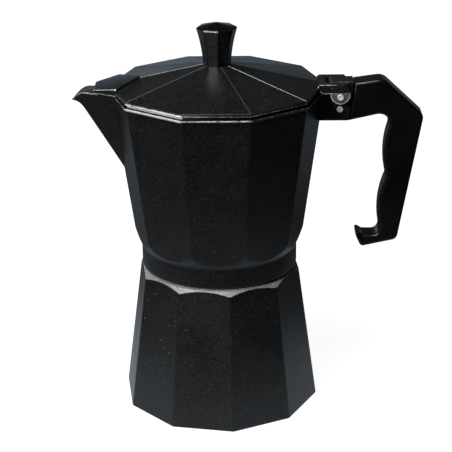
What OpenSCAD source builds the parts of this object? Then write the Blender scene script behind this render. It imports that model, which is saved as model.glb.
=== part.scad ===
// Ten-sided stovetop moka pot: boiler, funnel, gasket, filter, collector, lid, handle and safety valve.
// Millimetres, +Z up. The origin is the middle of the boiler's flat base, on the pot's own axis.
// The handle and the hinge are on +X and the spout is on -X.

/* [Boiler] */
// Corner radius of the base
base_r = 64.4; // [60:0.2:80]
// Corner radius of the facets where the shoulder starts
shoulder_r = 52.3; // [51:0.1:54]
// Height of the facets
boiler_h = 88.7; // [74:0.1:120]
// Height of the shoulder above the facets' corners
shoulder_rise = 3.9; // [3:0.1:5]
// Wall of the boiler
boiler_wall = 3; // [2.4:0.1:3.8]
// Floor of the boiler
boiler_floor = 4; // [3:0.1:6]
// Height of the threaded neck
neck_h = 11.6; // [10:0.1:14]
// Turn of the boiler's facets against the collector's, degrees
boiler_turn = -10; // [-18:1:18]

/* [Collar and thread] */
// Outer radius of the round collar
collar_r = 49.9; // [41.5:0.1:51]
// Wall of the collar outside its thread
collar_wall = 2.6; // [2:0.1:3]
// Depth of the thread
thread_depth = 1; // [0.8:0.1:1.2]
// Pitch of the thread
thread_pitch = 4; // [3:0.5:5]
// Radial gap between the two threads
thread_gap = 0.35; // [0.3:0.05:0.6]
// Wall of the boiler's neck
neck_wall = 2.9; // [2.4:0.1:3.6]
// Height of the plain collar
collar_h = 13.6; // [12.6:0.1:18]

/* [Collector] */
// Corner radius of the wall at the rim
body_r = 66.9; // [62:0.1:80.4]
// Corner radius of the wall where it turns in to the collar
waist_r = 54.5; // [53.5:0.1:57]
// Height of the cone between the collar and the facets' corners
waist_h = 9.5; // [8:0.1:12]
// Height of the facets above that cone
body_h = 91; // [80:0.1:115]
// Wall of the collector
body_wall = 3; // [2.4:0.1:3.6]
// How far the rim stands out past the wall
rim_lip = 1.3; // [0.8:0.1:1.6]
// Height of the riser column above the collector's floor
column_h = 70; // [50:1:76]

/* [Spout] */
// How far the spout's tip stands out past the wall's corner
spout_reach = 24.1; // [22:0.1:32]
// Wall of the spout
spout_wall = 2.2; // [1.8:0.1:2.6]

/* [Lid] */
// Rise of the lid's facets, from their ends to the knob's seat
lid_rise = 12.6; // [9:0.1:18]
// Height of the lid's edge
lid_edge_h = 3.4; // [3:0.1:4]
// Wall of the lid
lid_wall = 2.2; // [1.8:0.1:2.8]

/* [Knob] */
// Height of the knob
knob_h = 26; // [22:0.5:34]
// Corner radius of the knob's top
knob_top_r = 12.8; // [10.5:0.1:15.2]
// Corner radius of the knob's foot
knob_foot_r = 8.7; // [7.2:0.1:10.5]
// Turn of the knob, degrees
knob_turn = 5; // [0:0.1:45]

/* [Hinge and handle] */
// Width of the bracket on the collector
bracket_w = 13.8; // [11.4:0.1:16.6]
// Gap between the bracket and each hinge cheek
cheek_gap = 0.4; // [0.3:0.05:0.6]
// Thickness of each hinge cheek
cheek_t = 4.5; // [4:0.1:5.5]
// Radius of the hinge pin and of the handle pin
pin_r = 2; // [1.6:0.1:2.4]
// Radial running clearance of the hinge pin in the lid
pin_clear = 0.06; // [0.02:0.01:0.1]
// Width of the handle
handle_w = 15.4; // [13:0.2:19]
// Width of the tongue that joins the handle to the bracket
tenon_w = 8; // [6:0.2:8.8]

/* [Funnel, gasket and filter] */
// Depth of the coffee basket
basket_depth = 31; // [24:0.5:38]
// Wall of the funnel
funnel_wall = 0.9; // [0.7:0.1:1.2]
// Outer radius of the funnel's stem
stem_r = 7; // [6:0.1:9]
// Gap between the stem's end and the boiler's floor
stem_gap = 5; // [3:0.5:8]
// Thickness of the gasket
gasket_t = 3; // [2.4:0.1:4]
// Width of the gasket's ring
gasket_w = 9; // [7:0.1:11]
// Thickness of the filter plate and of the funnel's sieve
plate_t = 0.8; // [0.6:0.1:1]
// Radius of the holes in the filter plate and in the sieve
perforation_r = 0.7; // [0.5:0.05:0.8]

/* [Safety valve] */
// Height of the valve's axis
valve_z = 60; // [50:0.5:66]
// Radius of the valve's threaded shank
valve_shank_r = 4.6; // [4:0.1:5.5]
// Width across the flats of the valve's hexagon
valve_flats = 14; // [12:0.5:17]

/* [Hidden] */
$fn = 96;
sides = 10;
facet_turn = 180 / sides;
fit = 0.15;              // gap of pieces that push together
slip = 0.3;              // gap of curved faces that slide past each other
seat = 0.02;             // gap of flat faces that rest on each other across a joint

// Boiler and thread
neck_r = collar_r - collar_wall - 2 * thread_depth - thread_gap;
neck_crest_r = neck_r + thread_depth;
collar_crest_r = neck_crest_r + thread_gap;
collar_root_r = collar_crest_r + thread_depth;
mouth_r = neck_r - neck_wall;
shoulder_z = boiler_h + shoulder_rise;
shoulder_slope = 40;
shoulder_over = 4;       // how far the shoulder's cone runs on below the facets' corners
shoulder_top_r = shoulder_r - shoulder_rise / tan(shoulder_slope);
mouth_z = shoulder_z + neck_h;
boiler_taper = (base_r - shoulder_r) / boiler_h;
base_chamfer = 0.8;
cavity_r = base_r * cos(facet_turn) - boiler_wall - boiler_taper * boiler_floor;
cavity_top_z = boiler_h - 3;
cavity_top_r = cavity_r - boiler_taper * (cavity_top_z - boiler_floor);

// Heights of the collector, its seat for the gasket, and the lid
collar_gap = 0.8;
collar_z = shoulder_z + collar_gap;
flange_t = 1;
gasket_z = mouth_z + flange_t + seat;
gasket_top = gasket_z + gasket_t;
seat_r = collar_crest_r - 0.5;
gasket_r = seat_r - slip;
gasket_hole_r = gasket_r - gasket_w;
plate_lap = 4.4;         // how far the filter plate lies over the gasket
filter_r = gasket_hole_r + plate_lap;
filter_z = gasket_top + seat;
dome_r = gasket_hole_r + 1;
dome_top = filter_z + plate_t + 3.4;
floor_z = dome_top + 3;
waist_z = collar_z + collar_h + waist_h;
waist_over = 1;          // how far the cone runs on past the facets' corners
rim_z = waist_z + body_h;
rim_h = 1.6;
wall_taper = (body_r - waist_r) / body_h;
rim_r = body_r + rim_lip;
column_bore_r = 3.4;
column_foot_r = 9.6;
column_top_r = 7;
outlet_r = 2.6;
outlet_drop = 6;         // from the top of the column to the axis of its outlets

// Spout: distance in from the tip, keel below the rim, half-width, and edge above the rim
spout_tip = body_r + spout_reach;
spout_stations = [[spout_reach + 10.9, 57, 17, 0], [spout_reach + 4.4, 46.2, 14.7, 0], [14, 22, 9.4, 0.1], [10, 15.4, 8, 0.6],
    [7.2, 10.9, 6.5, 0.1], [5, 8.3, 4.4, -1.1], [3, 7, 2.4, -2.8], [1, 6.4, 0.9, -4.8],
    [0, 6.2, 0.3, -5.6]];
channel_from = spout_reach + 17.9;  // where the channel starts, in from the tip
channel_to = 5;
channel_end = [3.4, 7.4, 2.9, -2];
channel_lift = 6;
keel_round = 1.6;

// Lid
lid_gap = 0.4;
lid_z = rim_z + lid_gap;
lid_facet_z = lid_z + lid_edge_h;
lid_r = body_r - 0.3;
lid_edge_r = lid_r + 0.8;
lid_foot_r = lid_r - 0.8;
lid_foot_h = 1.5;
knob_z = lid_facet_z + lid_rise;
lid_seat_r = knob_foot_r - 0.5;
lid_slope = lid_rise / (lid_r - lid_seat_r);
function lid_height(r) = knob_z - lid_slope * (r - lid_seat_r);
cover_root_r = lid_r - 19;        // where the spout's cover leaves the lid's ridge
cover_end_r = spout_tip - 14.4;
cover_root_w = 17.5;
cover_end_w = 9.2;
cover_step = 1.1;

// Hinge, measured from the bracket's front face
bracket_x = body_r + 0.5;
bracket_front_drop = 4.3;
bracket_chamfer = 3.1;
bracket_top = rim_z + 6.1;
bracket_bottom = rim_z - 18.9;
bracket_end = bracket_x + 17.3;
bracket_foot = bracket_end - 3.1;
hinge_x = bracket_x + 8.6;
hinge_z = bracket_top - 8.5;
handle_pin_z = hinge_z - 9;
notch_x = bracket_x - 1.6;
plate_x = bracket_x - 0.4;        // where the arm's plate ends, over the notch
plate_thick = 2.3;
arm_top = bracket_top - 0.3;
arm_bottom = arm_top - 6;
ear_r = 6.1;
ear_step = 0.6;
ear_z = hinge_z + 1.5;
cheek_back = 3.5;                 // how far the cheeks' top runs past the hinge's axis
cheek_sweep = norm([cheek_back, arm_top - hinge_z]);
cheek_in = bracket_w / 2 + cheek_gap;
cheek_out = cheek_in + cheek_t;
tenon_x = hinge_x - 5.8;
socket_h = 19;
socket_z = bracket_bottom + 3;
pin_head = 0.7;

// Funnel
flange_r = neck_r - slip;
cup_r = mouth_r - 0.5;
cup_z = mouth_z + seat - basket_depth;
cup_cone_h = 6;
stem_z = boiler_floor + stem_gap;
stem_top_z = cup_z + 1;

// Knob and its fastening
insert_r = 3.6;
insert_h = 10;
screw_r = 2;
screw_hole_r = screw_r + slip;
screw_head_r = 4;
screw_head_h = 2.4;
washer_r = 5.4;
washer_t = 1;
screw_seat_z = knob_z - lid_wall - washer_t;

// Safety valve, along +X of its own frame, from the spot face on the facet
valve_turn = boiler_turn + facet_turn + 72;
valve_washer_r = valve_shank_r + 2.4;
valve_washer_t = 1;
spot_depth = 0.1 + valve_washer_r * boiler_taper * cos(facet_turn);
valve_face = (base_r - boiler_taper * valve_z) * cos(facet_turn) - spot_depth;
valve_boss_r = max(valve_washer_r, valve_flats / 2 / cos(30)) + 0.4;
valve_boss_t = 3;
hex_t = 4;
barrel_r = 5;
barrel_l = 5;
orifice_r = 1.6;
chamber_r = 3;
valve_seat_x = -2;       // where the seal rests, from the spot face
stem_pin_r = 1.3;
retainer_t = 1.2;
spring_r = 2.3;
spring_wire_r = 0.35;
poppet_travel = 1.2;

// A regular frustum with a corner on +X
module frustum(r_low, r_high, h, n = sides) {
    cylinder(h = h, r1 = r_low, r2 = r_high, $fn = n);
}

// A side view, drawn in X and Z, as wide as w and centred on Y = 0
module side_slab(w) {
    rotate([90, 0, 0]) linear_extrude(w, center = true) children();
}

// A cylinder along Y, centred on Y = 0
module cross_pin(r, w) {
    rotate([90, 0, 0]) cylinder(r = r, h = w, center = true);
}

// Points of the corner at b, rounded by radius r, between a and c
function unit(v) = v / norm(v);
function rounded_corner(a, b, c, r, n = 8) =
    r == 0 ? [b] :
    let (u = unit(a - b), v = unit(c - b), half = acos(u * v) / 2,
        mid = b + unit(u + v) * r / sin(half),
        p = b + u * r / tan(half), q = b + v * r / tan(half),
        first = atan2(p[1] - mid[1], p[0] - mid[0]),
        last = atan2(q[1] - mid[1], q[0] - mid[0]),
        sweep = (last - first + 540) % 360 - 180)
    [for (i = [0:n]) mid + r * [cos(first + sweep * i / n), sin(first + sweep * i / n)]];
function rounded_outline(list) = [for (i = [0:len(list) - 1])
    let (n = len(list), b = list[i], a = list[(i + n - 1) % n], c = list[(i + 1) % n])
    each rounded_corner([a[0], a[1]], [b[0], b[1]], [c[0], c[1]], b[2])];

// Points of the arc from a to b that bulges to the left of that line by rise
function bulge(a, b, rise, n = 10) =
    let (d = b - a, side = unit([-d[1], d[0]]), half = norm(d) / 2, r = (half * half + rise * rise) / (2 * rise),
        mid = (a + b) / 2 - side * (r - rise), spread = asin(half / r))
    [for (i = [1:n - 1])
        let (t = spread * (2 * i / n - 1)) mid + r * (unit(d) * sin(t) + side * cos(t))];

// A solid through sections that each have the same number of points, clockwise as seen from before the first
module loft(sections) {
    n = len(sections[0]);
    m = len(sections);
    polyhedron(
        points = [for (s = sections) each s],
        faces = concat(
            [[for (i = [0:n - 1]) i]],
            [[for (i = [n - 1:-1:0]) (m - 1) * n + i]],
            [for (k = [0:m - 2], i = [0:n - 1])
                [k * n + i, (k + 1) * n + i, (k + 1) * n + (i + 1) % n]],
            [for (k = [0:m - 2], i = [0:n - 1])
                [k * n + i, (k + 1) * n + (i + 1) % n, k * n + (i + 1) % n]]));
}

// Rings of a thread that point out from r_root to r_crest
module thread_rings(r_root, r_crest, z, count) {
    flank = thread_pitch * 0.3;
    for (i = [0:count - 1])
        translate([0, 0, z + i * thread_pitch])
            rotate_extrude()
                polygon([[r_root, 0], [r_crest, flank * 0.6], [r_crest, flank], [r_root, flank * 1.6],
                    [r_root - sign(r_crest - r_root) * 0.5, flank * 0.8]]);
}

// Ring pattern of holes that fills a disc of radius r
module perforations(r, t) {
    step = perforation_r * 4.6;
    rings = floor(r / step);
    for (k = [1:rings], i = [0:5 * k - 1])
        rotate(i * 72 / k) translate([k * step, 0, -1]) cylinder(r = perforation_r, h = t + 2, $fn = 24);
}

// Places its children on the valve's axis, with +X out of the boiler
module on_valve() {
    rotate(valve_turn) translate([valve_face, 0, valve_z]) children();
}
module valve_ring(x, l, r) {
    translate([x, 0, 0]) rotate([0, 90, 0]) cylinder(r = r, h = l);
}

module boiler() {
    color("#1b1c1e") difference() {
        union() {
            intersection() {
                rotate(boiler_turn) {
                    frustum(base_r - base_chamfer, base_r - boiler_taper * base_chamfer, base_chamfer);
                    translate([0, 0, base_chamfer])
                        frustum(base_r - boiler_taper * base_chamfer, base_r - boiler_taper * shoulder_z,
                            shoulder_z - base_chamfer);
                }
                union() {
                    cylinder(r = base_r + 1, h = boiler_h - shoulder_over);
                    translate([0, 0, boiler_h - shoulder_over])
                        cylinder(r1 = shoulder_r + shoulder_over / tan(shoulder_slope), r2 = shoulder_top_r,
                            h = shoulder_rise + shoulder_over);
                }
            }
            translate([0, 0, shoulder_z - 1]) cylinder(r = neck_r, h = neck_h + 1);
            thread_rings(neck_r, neck_crest_r, shoulder_z + 2.4, 2);
        }
        difference() {
            union() {
                translate([0, 0, boiler_floor])
                    cylinder(r1 = cavity_r, r2 = cavity_top_r, h = cavity_top_z - boiler_floor);
                translate([0, 0, cavity_top_z])
                    cylinder(r1 = cavity_top_r, r2 = mouth_r, h = shoulder_z - cavity_top_z);
                translate([0, 0, shoulder_z - 0.01]) cylinder(r = mouth_r, h = neck_h + 1);
            }
            on_valve() valve_ring(-boiler_wall - valve_boss_t, valve_boss_t + 3, valve_boss_r);
        }
        on_valve() valve_ring(-20, 21, valve_shank_r);
        on_valve() valve_ring(0, 5, valve_boss_r);
    }
}

module valve_body() {
    color("#b8923f") on_valve() difference() {
        union() {
            valve_ring(-boiler_wall - valve_boss_t, boiler_wall + valve_boss_t + 1 + valve_washer_t,
                valve_shank_r - 0.02);
            translate([valve_washer_t, 0, 0]) rotate([0, 90, 0])
                cylinder(d = valve_flats / cos(30), h = hex_t, $fn = 6);
            valve_ring(valve_washer_t, hex_t + barrel_l, barrel_r);
        }
        valve_ring(-20, 21, orifice_r);
        valve_ring(valve_seat_x, 30, chamber_r);
    }
}

module valve_washer() {
    color("#7c3f22") on_valve() difference() {
        valve_ring(0, valve_washer_t, valve_washer_r);
        valve_ring(-1, valve_washer_t + 2, valve_shank_r);
    }
}

module valve_retainer() {
    end = valve_washer_t + hex_t + barrel_l;
    color("#b8923f") on_valve() difference() {
        valve_ring(end - retainer_t, retainer_t, chamber_r);
        valve_ring(end - 5, 10, stem_pin_r + slip);
    }
}

module valve_poppet() {
    end = valve_washer_t + hex_t + barrel_l;
    color("#b9bcc0") on_valve() {
        valve_ring(valve_seat_x + 0.9, 1, chamber_r - slip);
        valve_ring(valve_seat_x + 1.8, end - valve_seat_x, stem_pin_r);
    }
}

module valve_seal() {
    color("#8d2f22") on_valve() valve_ring(valve_seat_x + seat, 0.88 - seat, chamber_r - slip);
}

// A spring drawn as a stack of wire rings on two thin rails
module valve_spring() {
    from = valve_seat_x + 2 + spring_wire_r;
    to = valve_washer_t + hex_t + barrel_l - retainer_t - spring_wire_r - 0.05;
    coils = 6;
    color("#c9ccd0") on_valve() {
        for (i = [0:coils])
            translate([from + (to - from) * i / coils, 0, 0]) rotate([0, 90, 0])
                rotate_extrude() translate([spring_r, 0]) circle(r = spring_wire_r, $fn = 16);
        for (a = [0, 180])
            rotate([a, 0, 0]) translate([from, 0, spring_r]) rotate([0, 90, 0])
                cylinder(r = spring_wire_r * 0.7, h = to - from, $fn = 16);
    }
}

module funnel_cup() {
    throat = stem_r + 2;
    color("#b4b6b8") translate([0, 0, cup_z]) rotate_extrude()
        polygon([
            [stem_r, 0], [throat, 0], [cup_r, cup_cone_h], [cup_r, basket_depth], [flange_r, basket_depth],
            [flange_r, basket_depth + flange_t], [cup_r - funnel_wall, basket_depth + flange_t],
            [cup_r - funnel_wall, cup_cone_h + funnel_wall], [throat - 0.4, funnel_wall], [stem_r, funnel_wall]]);
}

module funnel_stem() {
    color("#b4b6b8") difference() {
        union() {
            translate([0, 0, stem_z]) cylinder(r = stem_r, h = stem_top_z - stem_z + funnel_wall);
            translate([0, 0, cup_z - 1.2]) cylinder(r = stem_r + 1.2, h = 1.2);
        }
        translate([0, 0, stem_z - 1]) cylinder(r = stem_r - funnel_wall, h = stem_top_z);
        translate([0, 0, stem_z - 0.01]) cylinder(r1 = stem_r - 0.2, r2 = stem_r - funnel_wall, h = 4);
    }
}

module funnel_sieve() {
    z = cup_z + cup_cone_h + funnel_wall + 0.5;
    color("#c6c8ca") translate([0, 0, z]) difference() {
        cylinder(r = cup_r - funnel_wall - 0.02, h = plate_t);
        perforations(cup_r - funnel_wall - 3, plate_t);
    }
}

module gasket() {
    color("#d9d6cd") translate([0, 0, gasket_z]) difference() {
        cylinder(r = gasket_r, h = gasket_t);
        translate([0, 0, -1]) cylinder(r = gasket_hole_r, h = gasket_t + 2);
    }
}

module filter_plate() {
    color("#c6c8ca") translate([0, 0, filter_z]) difference() {
        cylinder(r = filter_r, h = plate_t);
        perforations(gasket_hole_r - 2, plate_t);
    }
}

// One section of the spout, clockwise as seen from the pot's axis, and of the channel inside it
function spout_section(s) =
    let (x = s[0] - spout_tip, w = s[2], low = rim_z - s[1], top = rim_z + s[3],
        k = min(keel_round, w * 0.5), rise = min(k * 1.2, (top - low) / 3))
    [[x, w, top], [x, k, low + rise], [x, k / 3, low], [x, -k / 3, low], [x, -k, low + rise], [x, -w, top]];
function channel_section(s) =
    let (x = s[0] - spout_tip, w = s[2] - spout_wall * 1.1, low = rim_z - s[1] + spout_wall * 1.7,
        top = max(rim_z + s[3], low + 1), k = min(keel_round, w * 0.5), rise = min(k * 1.2, (top - low) / 3))
    [[x, w, top + channel_lift], [x, w, top], [x, k, low + rise], [x, k / 3, low],
        [x, -k / 3, low], [x, -k, low + rise], [x, -w, top], [x, -w, top + channel_lift]];

module spout_shell() {
    loft([for (s = spout_stations) spout_section(s)]);
}
module spout_channel() {
    first = spout_stations[0];
    start = [channel_from, first[1] + 11.6, first[2] + 2.5, 0];
    loft([for (s = concat([start], [for (s = spout_stations) if (s[0] > channel_to) s], [channel_end]))
        channel_section(s)]);
}

// Side view of the bracket that carries the lid and the handle
module bracket_outline() {
    root = body_r - body_wall;
    polygon([
        [root - 2, bracket_bottom], [bracket_foot, bracket_bottom], [bracket_end, bracket_top],
        [bracket_x + bracket_chamfer, bracket_top], [bracket_x, bracket_top - bracket_front_drop],
        [bracket_x, rim_z - rim_h], [root - 2, rim_z - rim_h]]);
}

module collector_skin() {
    intersection() {
        translate([0, 0, collar_z + collar_h - 2])
            frustum(waist_r - wall_taper * (waist_h + 2), body_r, body_h + waist_h + 2);
        rotate(facet_turn / 2) union() {
            translate([0, 0, collar_z + collar_h - 2]) cylinder(r = collar_r, h = 2.01);
            translate([0, 0, collar_z + collar_h])
                cylinder(r1 = collar_r, r2 = waist_r + waist_over * (waist_r - collar_r) / waist_h,
                    h = waist_h + waist_over);
            translate([0, 0, waist_z + waist_over]) cylinder(r = body_r + 20, h = body_h);
        }
    }
    translate([0, 0, collar_z]) cylinder(r = collar_r, h = collar_h);
    difference() {
        translate([0, 0, rim_z - rim_h]) frustum(rim_r - 0.4, rim_r, rim_h);
        translate([bracket_x - 3, -cheek_out - 1, rim_z - rim_h - 1])
            cube([20, 2 * cheek_out + 2, rim_h + 2]);
    }
}

module collector() {
    inner_r = waist_r - wall_taper * (waist_z - floor_z) - body_wall / cos(facet_turn);
    inner_top_r = body_r - body_wall / cos(facet_turn);
    column_top_z = floor_z + column_h;
    color("#1b1c1e") difference() {
        union() {
            difference() {
                union() {
                    collector_skin();
                    spout_shell();
                    side_slab(bracket_w) bracket_outline();
                }
                translate([0, 0, floor_z]) frustum(inner_r, inner_top_r, rim_z - floor_z);
                translate([0, 0, rim_z - 0.01]) cylinder(r = body_r - 16, h = 12);
                spout_channel();
            }
            translate([0, 0, floor_z - 1]) cylinder(r1 = column_foot_r, r2 = column_top_r, h = column_h + 1);
        }
        translate([0, 0, collar_z - 1]) cylinder(r = collar_root_r, h = mouth_z - collar_z + 0.6);
        translate([0, 0, mouth_z - 1]) cylinder(r = seat_r, h = gasket_top + seat + 1 - mouth_z);
        translate([0, 0, gasket_top]) cylinder(r = filter_r + slip, h = plate_t + 2 * seat);
        translate([0, 0, filter_z + plate_t]) cylinder(r = dome_r, h = dome_top - filter_z - plate_t);
        translate([0, 0, dome_top - 1]) cylinder(r = column_bore_r, h = column_top_z - outlet_drop / 2 - dome_top + 1);
        translate([0, 0, column_top_z - outlet_drop]) cross_pin(outlet_r, 3 * column_top_r);
        translate([tenon_x - fit, -tenon_w / 2 - fit, socket_z - fit])
            cube([40, tenon_w + 2 * fit, socket_h + 2 * fit]);
        translate([hinge_x, 0, hinge_z]) cross_pin(pin_r, 2 * bracket_w);
        translate([hinge_x, 0, handle_pin_z]) cross_pin(pin_r, 2 * bracket_w);
    }
    color("#1b1c1e")
        thread_rings(collar_root_r, collar_crest_r, collar_z + 1.6, 2);
}

// Side view of the handle's grip, with a hook at its lower end
function handle_points() =
    let (x = bracket_end, z = bracket_top, swell_low = [x + 17.7, z - 96.6], cusp = [x + 21.2, z - 62.4],
        swell_high = [x + 22.1, z - 29.1])
    rounded_outline(concat(
        [[x + fit, z - 0.6, 0], [x + 18.2, z + 1.9, 7.5], [x + 43.7, z - 22, 5], [x + 29.3, z - 105, 4],
            [x + 6.3, z - 110, 2.5], [x - 0.1, z - 96, 2.2], [x + 7.3, z - 101.8, 3.5],
            [x + 17.6, z - 101.9, 4.5], [swell_low[0], swell_low[1], 0]],
        [for (p = bulge(swell_low, cusp, 2.45)) [p[0], p[1], 0]],
        [[cusp[0], cusp[1], 0]],
        [for (p = bulge(cusp, swell_high, 2.25)) [p[0], p[1], 0]],
        [[swell_high[0], swell_high[1], 0], [x + 22.3, z - 19.4, 6.5], [bracket_foot + fit, bracket_bottom, 0]]));

module handle() {
    color("#0f1011") difference() {
        union() {
            side_slab(handle_w) polygon(handle_points());
            translate([tenon_x, -tenon_w / 2, socket_z]) cube([bracket_end + 4 - tenon_x, tenon_w, socket_h]);
        }
        for (s = [-1, 1])
            translate([hinge_x, s * (cheek_out + cheek_in) / 2, hinge_z])
                cross_pin(cheek_sweep + slip, cheek_t + 2 * slip);
        translate([hinge_x, 0, hinge_z]) cross_pin(pin_r, 2 * bracket_w);
        translate([hinge_x, 0, handle_pin_z]) cross_pin(pin_r, 2 * bracket_w);
    }
}

module handle_pin() {
    color("#c4c8cc") translate([hinge_x, 0, handle_pin_z]) cross_pin(pin_r, bracket_w + 2 * pin_head);
}

module hinge_pin() {
    color("#c4c8cc") translate([hinge_x, 0, hinge_z]) cross_pin(pin_r, 2 * cheek_out + 2 * pin_head);
}

// Side view of one hinge cheek
module cheek_outline() {
    root = lid_r - 5;
    polygon([
        [root, lid_height(lid_r - 5) - 1], [root + 1.8, arm_top], [hinge_x + cheek_back, arm_top],
        [hinge_x + 7.2, arm_bottom], [bracket_x - 2.2, arm_bottom], [root, lid_z + lid_foot_h]]);
}

module lid_shell() {
    difference() {
        union() {
            translate([0, 0, lid_z]) frustum(lid_foot_r, lid_foot_r, lid_foot_h);
            translate([0, 0, lid_z + lid_foot_h]) frustum(lid_edge_r, lid_r, lid_edge_h - lid_foot_h);
            translate([0, 0, lid_facet_z]) frustum(lid_r, lid_seat_r, lid_rise);
        }
        translate([0, 0, lid_z - 0.01])
            frustum(lid_foot_r - lid_wall, lid_foot_r - lid_wall, lid_edge_h - lid_wall);
        translate([0, 0, lid_facet_z - lid_wall - 0.02])
            frustum(lid_foot_r - lid_wall, lid_seat_r + 1.5, lid_rise - 0.4);
        translate([0, 0, knob_z - lid_wall - 2]) cylinder(r = washer_r + slip, h = 2);
    }
}

// The lid's cover over the spout, with a pointed root and a step along its sides
module spout_cover() {
    low = lid_z + 0.1;
    top = [for (p = [[cover_root_r, 0], [lid_r - 4.6, cover_root_w], [cover_end_r, cover_end_w]])
        [p[0], p[1], p[0] == cover_root_r ? lid_height(cover_root_r) + cover_step :
            (p[0] == cover_end_r ? lid_z + 2.3 : lid_z + 4.9)]];
    ring = [top[0], top[1], top[2], [top[2][0], -top[2][1], top[2][2]], [top[1][0], -top[1][1], top[1][2]]];
    upper = [for (p = ring) [-p[0], p[1], p[2]]];
    lower = [for (p = ring) [-p[0], p[1], low]];
    hull() polyhedron(points = concat(upper, lower), faces = [[0, 1, 2, 3, 4], [9, 8, 7, 6, 5],
        for (i = [0:4]) [i, 5 + i, 5 + (i + 1) % 5, (i + 1) % 5]]);
}

module lid() {
    color("#1b1c1e") difference() {
        union() {
            lid_shell();
            difference() {
                spout_cover();
                translate([0, 0, lid_z - 1]) frustum(lid_foot_r - lid_wall, lid_foot_r - lid_wall, lid_edge_h);
            }
            translate([lid_r - 5, -cheek_in, arm_top - 3.4]) cube([notch_x - lid_r + 5, 2 * cheek_in, 3.4]);
            translate([lid_r - 5, -cheek_in, arm_top - plate_thick])
                cube([plate_x - lid_r + 5, 2 * cheek_in, plate_thick]);
            for (s = [-1, 1])
                translate([0, s * (cheek_in + cheek_out) / 2, 0]) side_slab(cheek_t) cheek_outline();
            for (s = [-1, 1])
                translate([hinge_x, s * (cheek_in + cheek_out - ear_step) / 2, ear_z])
                    cross_pin(ear_r, cheek_t - ear_step);
        }
        translate([notch_x, -cheek_in, lid_z - 10]) cube([40, 2 * cheek_in, 10 + arm_top - plate_thick - lid_z]);
        translate([plate_x, -cheek_in, lid_z - 10]) cube([40, 2 * cheek_in, 40]);
        translate([hinge_x, 0, hinge_z]) cross_pin(pin_r + pin_clear, 3 * cheek_out);
        translate([0, 0, knob_z - 10]) cylinder(r = screw_hole_r, h = 12);
    }
}

// Corner radius of the knob at a share of its height to the edge of its top
function knob_section(r, z) = [for (i = [0:7]) [r * cos(45 * i), r * sin(45 * i), z]];
function knob_flare(t) = knob_foot_r + (knob_top_r - knob_foot_r) * (0.42 * t + 0.58 * pow(t, 2.2));

module knob() {
    edge_h = knob_h - 3.3;
    steps = 6;
    color("#0f1011") translate([0, 0, knob_z]) rotate(knob_turn) difference() {
        union() {
            loft(concat([for (i = [0:steps]) knob_section(knob_flare(i / steps), edge_h * i / steps)],
                [knob_section(knob_top_r - 0.9, edge_h + 0.8), knob_section(0.4, knob_h)]));
        }
        translate([0, 0, -1]) cylinder(r = insert_r, h = insert_h + 2);
        cylinder(r = screw_r + slip, h = insert_h + 5);
    }
}

module knob_insert() {
    color("#b8923f") translate([0, 0, knob_z + 0.5]) difference() {
        cylinder(r = insert_r - 0.02, h = insert_h);
        translate([0, 0, -1]) cylinder(r = screw_r + 0.02, h = insert_h + 2);
    }
}

module knob_washer() {
    color("#c4c8cc") translate([0, 0, screw_seat_z]) difference() {
        cylinder(r = washer_r, h = washer_t);
        translate([0, 0, -1]) cylinder(r = screw_hole_r, h = washer_t + 2);
    }
}

module knob_screw() {
    color("#c4c8cc") translate([0, 0, screw_seat_z]) difference() {
        union() {
            cylinder(r = screw_r, h = insert_h + lid_wall + washer_t);
            translate([0, 0, -screw_head_h]) cylinder(r1 = screw_head_r - 0.8, r2 = screw_head_r, h = screw_head_h);
        }
        translate([-screw_head_r - 1, -0.5, -screw_head_h - 1]) cube([2 * screw_head_r + 2, 1, 2.1]);
    }
}

boiler();
valve_body();
valve_washer();
valve_retainer();
valve_poppet();
valve_seal();
valve_spring();
funnel_cup();
funnel_stem();
funnel_sieve();
gasket();
filter_plate();
collector();
handle();
handle_pin();
hinge_pin();
lid();
knob();
knob_insert();
knob_washer();
knob_screw();
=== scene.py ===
# Moka pot: cast boiler and collector in black paint, moulded handle and knob, bare aluminium inside
import math

import bmesh
import bpy
from mathutils import Matrix, Vector, noise


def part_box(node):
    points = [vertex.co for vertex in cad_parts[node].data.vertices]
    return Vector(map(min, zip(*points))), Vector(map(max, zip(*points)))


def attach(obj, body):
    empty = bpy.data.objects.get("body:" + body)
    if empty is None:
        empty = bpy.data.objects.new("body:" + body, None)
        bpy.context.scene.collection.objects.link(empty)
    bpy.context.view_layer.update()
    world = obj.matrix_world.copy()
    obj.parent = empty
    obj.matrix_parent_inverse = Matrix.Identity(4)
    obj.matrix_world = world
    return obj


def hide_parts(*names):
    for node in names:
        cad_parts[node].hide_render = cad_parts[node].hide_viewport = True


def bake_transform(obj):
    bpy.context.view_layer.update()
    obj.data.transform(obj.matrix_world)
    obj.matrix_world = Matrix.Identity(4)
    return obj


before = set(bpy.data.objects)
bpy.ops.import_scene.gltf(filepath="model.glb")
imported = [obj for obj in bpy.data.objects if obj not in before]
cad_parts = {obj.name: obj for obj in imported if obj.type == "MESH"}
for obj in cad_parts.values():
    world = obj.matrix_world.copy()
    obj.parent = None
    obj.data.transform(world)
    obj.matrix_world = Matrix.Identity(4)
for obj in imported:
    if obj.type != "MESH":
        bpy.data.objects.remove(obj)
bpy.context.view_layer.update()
scene = bpy.context.scene
mm = 0.001              # the pieces are shaped in millimetres and brought to metres at the end

# the middle of a node along one axis
def middleOf(node, axis):
    low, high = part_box(node)
    return (low[axis] + high[axis]) / 2 / mm


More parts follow.
